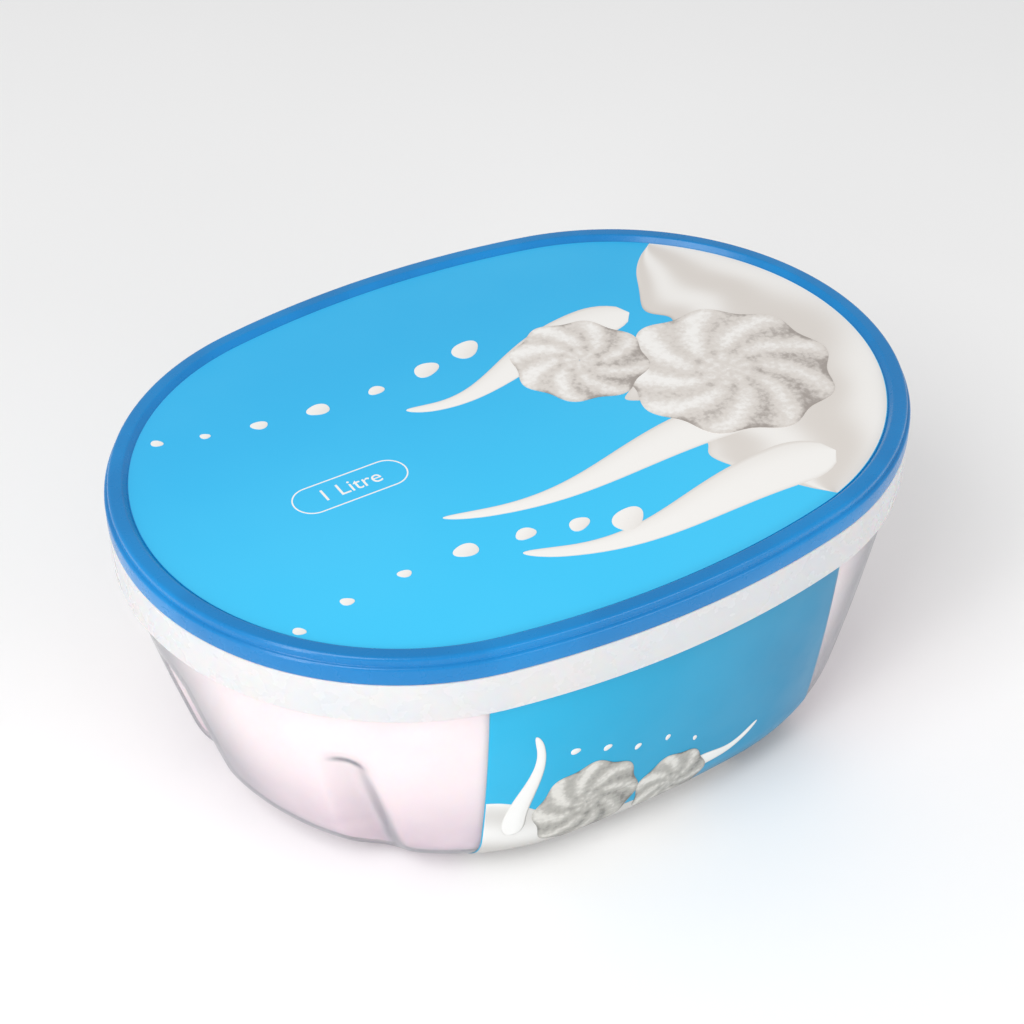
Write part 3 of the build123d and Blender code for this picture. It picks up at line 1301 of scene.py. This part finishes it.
    def volume_outline(self, print_: Print, white: bpy.types.Material) -> None:
        """Makes the long round-ended outline about the volume.

        Its centre line is a rectangle with half circles at its ends, and its section a rectangle.

        Args:
            print_: the print that it belongs to.
            white: its material.
        """
        turn = np.linspace(-math.pi / 2, math.pi / 2, 25)
        arc = np.stack([np.cos(turn), np.sin(turn)], -1)
        right = arc * self.pill_radius + (self.pill_half - self.pill_radius, 0.0)
        path, away = np.concatenate([right, -right]), np.concatenate([arc, -arc])
        half, low, high = self.pill_line / 2, print_.film / 2, print_.film + print_.ink
        rings = []
        for out, height in ((half, low), (half, high), (-half, high), (-half, low)):
            flat = path + away * out + self.volume_place
            rings.append(print_.surface.at(flat[:, 0], flat[:, 1], height))
        shape = Shape.torus(np.array(rings))
        shape.piece("volume_outline", white, Slot.PRINT, smooth=False)

    def volume_text(self, print_: Print, white: bpy.types.Material) -> None:
        """Makes the volume in words, welded into closed letters.

        Args:
            print_: the print that they belong to.
            white: their material.
        """
        words = bpy.data.curves.new("volume_words", "FONT")
        words.body = self.volume_words
        words.align_x, words.align_y = "CENTER", "CENTER"
        words.size = self.volume_height
        words.extrude = print_.ink / 2
        holder = bpy.data.objects.new("volume_words_curve", words)
        mesh = bpy.data.meshes.new_from_object(holder)
        bpy.data.objects.remove(holder)
        letters = bmesh.new()
        letters.from_mesh(mesh)
        bmesh.ops.remove_doubles(letters, verts=letters.verts, dist=self.weld)
        letters.to_mesh(mesh)
        letters.free()
        count = len(mesh.vertices)
        flat = np.empty(count * 3)
        mesh.vertices.foreach_get("co", flat)
        height = self.sizes.panel_top + print_.film + print_.ink / 2
        flat = flat.reshape(-1, 3) + (*self.volume_place, height)
        mesh.vertices.foreach_set("co", (flat * MM).reshape(-1))
        mesh.name = "volume_words"
        mesh.materials.clear()
        dressed(mesh, np.ones(count), white, Slot.PRINT)


@dataclass
class SidePrint:
    """Blue film on one long side, with a wave of cream, swirls and drops at its lower left."""

    sizes: TubSizes
    way: Way
    half: float = 42.9
    taper: float = 0.9
    foot: float = 1.4
    wave_run: float = 66.0
    wave_gap: float = 0.2
    wave_height: float = 21.0
    wave_fall: float = 1.3
    wave_swell: float = 3.2
    wave_rest: float = 1.5
    drop_count: int = 5

    def half_at(self, up: np.ndarray) -> np.ndarray:
        """Half the film's width at each height; it narrows in a straight line to the floor."""
        return self.half - self.taper * (1 - up / self.sizes.body_height)

    def wave(self, print_: Print) -> Shape:
        """Wave of cream along the foot, from the film's left edge.

        Its top is at foot + height * (1 - s)^fall + swell * sin(11 * s + 0.9) * (1 - s) + rest,
        where s goes from 0 at the left to 1 at its right end.

        Args:
            print_: the print that it belongs to.
        Returns:
            The piece.
        """
        s = np.linspace(0, 1, 120)[None, :]
        t = np.linspace(0, 1, 30)[:, None]
        swell = self.wave_swell * np.sin(11 * s + 0.9) * (1 - s)
        rise = self.wave_height * (1 - s) ** self.wave_fall + swell + self.wave_rest
        level = self.foot + rise * t
        across = -self.half_at(level) + self.wave_gap + self.wave_run * s
        fold = np.cos(2 * np.pi * (1.4 * (level - self.foot) / 20 + 0.2 * np.sin(9 * s)))
        tone = np.clip(0.62 + 0.14 * fold + 0.012 * (level - 8), 0, 1)
        return print_.patch(across, level, tone, WAVE_LAYER)

    def drop(self, print_: Print, index: int) -> Shape:
        """One of a falling row of drops, each smaller than the last."""
        middle = (-24 + 7.5 * index, 36 - 2.6 * index + 2 * math.sin(3 * index))
        radii = (1.1 - 0.1 * index, 0.8 - 0.08 * index)
        return print_.drop(middle, radii, 0.4 * index, index)

    def build(self, ground: bpy.types.Material, inks: Inks) -> None:
        """Makes the film and its shapes.

        Args:
            ground: the film's material.
            inks: the inks of the shapes.
        """
        name = self.way.name.lower()
        print_ = Print(Side(self.sizes, self.way))
        s = np.linspace(-1, 1, 120)[None, :]
        t = np.linspace(0, 1, 70)[:, None]
        up = self.foot + (self.sizes.body_height - self.foot) * t + 0 * s
        film = print_.patch(s * self.half_at(up), up, np.ones_like(up), 0)
        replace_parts(film.piece(f"{name}_film", ground, Slot.PRINT), f"side_print_{name}")
        poured = [
            self.wave(print_),
            print_.ribbon(((-36, 14), (-38, 26), (-28, 32), (-33, 44)), (2.6, 0.8)),
            print_.ribbon(((0, 12), (12, 19), (14, 10), (24, 19)), (2.4, 0.7)),
        ]
        drops = [self.drop(print_, index) for index in range(self.drop_count)]
        swirls = [
            print_.rosette((-20.0, 18.0), 12.0, 8, 0.9, SWIRL_LAYER),
            print_.rosette((1.0, 13.0), 9.0, 7, -0.9, SWIRL_LAYER + 1),
        ]
        Shape.joined(poured + drops).piece(f"{name}_cream", inks.cream, Slot.PRINT)
        Shape.joined(swirls).piece(f"{name}_swirl", inks.swirl, Slot.PRINT)


# ------------------------------------------------------------------ studio


@dataclass(frozen=True)
class SoftLight:
    """A rectangular soft light: where it stands and aims, in metres, its size and its power."""

    name: str
    place: tuple[float, float, float]
    aim_height: float
    size: tuple[float, float]
    power: float

    def build(self) -> None:
        """Adds the light, facing the tub's axis at its aim height."""
        data = bpy.data.lights.new(self.name, "AREA")
        data.shape = "RECTANGLE"
        data.size, data.size_y = self.size
        data.energy = self.power
        lamp = bpy.data.objects.new(self.name, data)
        lamp.location = self.place
        way = Vector((0, 0, self.aim_height)) - Vector(self.place)
        lamp.rotation_euler = way.to_track_quat("-Z", "Y").to_euler()
        bpy.context.scene.collection.objects.link(lamp)


@dataclass
class Studio:
    """Pale floor, soft light from above and the sides, and the camera."""

    camera_place: tuple[float, float, float] = (-0.20875, -0.33576, 0.36391)
    camera_azimuth: float = -31.737
    camera_elevation: float = 38.826
    lens: float = 80.68
    sensor: float = 36.0
    floor_colour: Colour = linear(250, 250, 250)
    floor_shade: Colour = linear(248, 248, 248)
    floor_half: float = 4.0
    floor_drop: float = 0.0003
    surround: float = 0.62
    lights: tuple[SoftLight, ...] = (
        SoftLight("key", (-0.55, -0.25, 0.75), 0.05, (0.5, 0.5), 3.6),
        SoftLight("strip_left", (-0.65, -0.25, 0.22), 0.06, (0.12, 0.5), 1.3),
        SoftLight("strip_front", (0.25, -0.75, 0.35), 0.06, (0.6, 0.15), 1.6),
    )

    def floor(self) -> None:
        """Makes the paper floor, just below the tub's base."""
        side, low = self.floor_half, -self.floor_drop
        corners = [(-side, -side, low), (side, -side, low), (side, side, low), (-side, side, low)]
        mesh = bpy.data.meshes.new("floor")
        mesh.from_pydata(corners, [], [(0, 1, 2, 3)])
        nodes = Nodes("floor_paper")
        shade = nodes.remap(nodes.noise(3.0), MIDDLE_NOISE, DEEP_TO_PALE)
        paper = nodes.mix(shade, self.floor_colour, self.floor_shade)
        nodes.link(paper, nodes.shader.inputs["Base Color"])
        nodes.set(Roughness=0.9, Specular_IOR_Level=0.1)
        mesh.materials.append(nodes.material)
        floor = bpy.data.objects.new("floor", mesh)
        bpy.context.scene.collection.objects.link(floor)

    def world(self) -> None:
        """Makes the even white light all round."""
        world = bpy.data.worlds.new("studio")
        world.use_nodes = True
        background = world.node_tree.nodes["Background"]
        background.inputs["Color"].default_value = (1, 1, 1, 1)
        background.inputs["Strength"].default_value = self.surround
        bpy.context.scene.world = world

    def camera(self) -> None:
        """Makes the scene's camera."""
        data = bpy.data.cameras.new("camera")
        data.lens, data.sensor_width = self.lens, self.sensor
        camera = bpy.data.objects.new("camera", data)
        camera.location = self.camera_place
        tilt = math.radians(90 - self.camera_elevation)
        camera.rotation_euler = (tilt, 0.0, math.radians(self.camera_azimuth))
        bpy.context.scene.collection.objects.link(camera)
        bpy.context.scene.camera = camera

    def build(self) -> None:
        """Makes the floor, the surrounding light, the lamps and the camera."""
        self.floor()
        self.world()
        for light in self.lights:
            light.build()
        self.camera()
        bpy.context.scene.view_settings.view_transform = "Standard"


@dataclass(frozen=True)
class Tints:
    """Tints of the films, with painted light and shade in their blues, and of the sides' inks, darker
    than the lid's as painted shade.
    """

    # painted light: the lid's blue is lighter at the front than at the back
    lid_shaded_back: Colour = linear(44, 178, 232)
    lid_lit_front: Colour = linear(56, 196, 244)
    # painted shade: the side's blue darkens from left to right
    side_lit_left: Colour = linear(0, 168, 212)
    side_shaded_right: Colour = linear(0, 116, 160)
    # painted shade: the sides' inks are darker than the lid's inks
    cream: tuple[Colour, ...] = (linear(232, 232, 230), linear(190, 188, 184), linear(130, 130, 128))
    swirl: tuple[Colour, ...] = (linear(214, 212, 206), linear(168, 166, 160), linear(112, 112, 108))
    speckle: float = 0.12

    def lid_inks(self) -> Inks:
        """Makes the lid's inks."""
        cream = PrintedCream("printed_cream").build()
        swirl = PrintedCream("printed_swirl", grain=self.speckle).build()
        return Inks(cream, swirl, PrintedCream("printed_white").build())

    def side_inks(self, white: bpy.types.Material) -> Inks:
        """Makes the sides' inks, darker than the lid's as painted shade, with the lid's white."""
        cream = PrintedCream("side_cream", *self.cream).build()
        swirl = PrintedCream("side_swirl", *self.swirl, self.speckle).build()
        return Inks(cream, swirl, white)

    def lid_ground(self) -> bpy.types.Material:
        """Makes the lid film's blue, with painted light: lighter from back to front."""
        return PrintedGround("lid_sky", self.lid_shaded_back, self.lid_lit_front, "Y", (0.05, -0.05)).build()

    def side_ground(self, way: Way) -> bpy.types.Material:
        """Makes a side film's blue, with painted shade: darker from the viewer's left to right."""
        span = (0.045 * way.value, -0.05 * way.value)
        name = f"{way.name.lower()}_sea"
        return PrintedGround(name, self.side_lit_left, self.side_shaded_right, "X", span, (0.001, 0.012)).build()


def main() -> None:
    """Builds the tub, contents, lid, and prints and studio."""
    logging.basicConfig(level=logging.INFO, format="%(name)s: %(message)s")
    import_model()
    sizes = TubSizes()
    tub = Tub(sizes, Flutes(sizes))
    tub.build(ClearWall().build(), MilkyCollar().build())
    Contents(tub).build(FrozenCream().build())
    Lid(sizes).build(MouldedBlue().build())
    tints = Tints()
    lid_inks = tints.lid_inks()
    LidPrint(sizes).build(tints.lid_ground(), lid_inks)
    side_inks = tints.side_inks(lid_inks.white)
    for way in Way:
        SidePrint(sizes, way).build(tints.side_ground(way), side_inks)
    Studio().build()


if __name__ == "__main__":
    main()
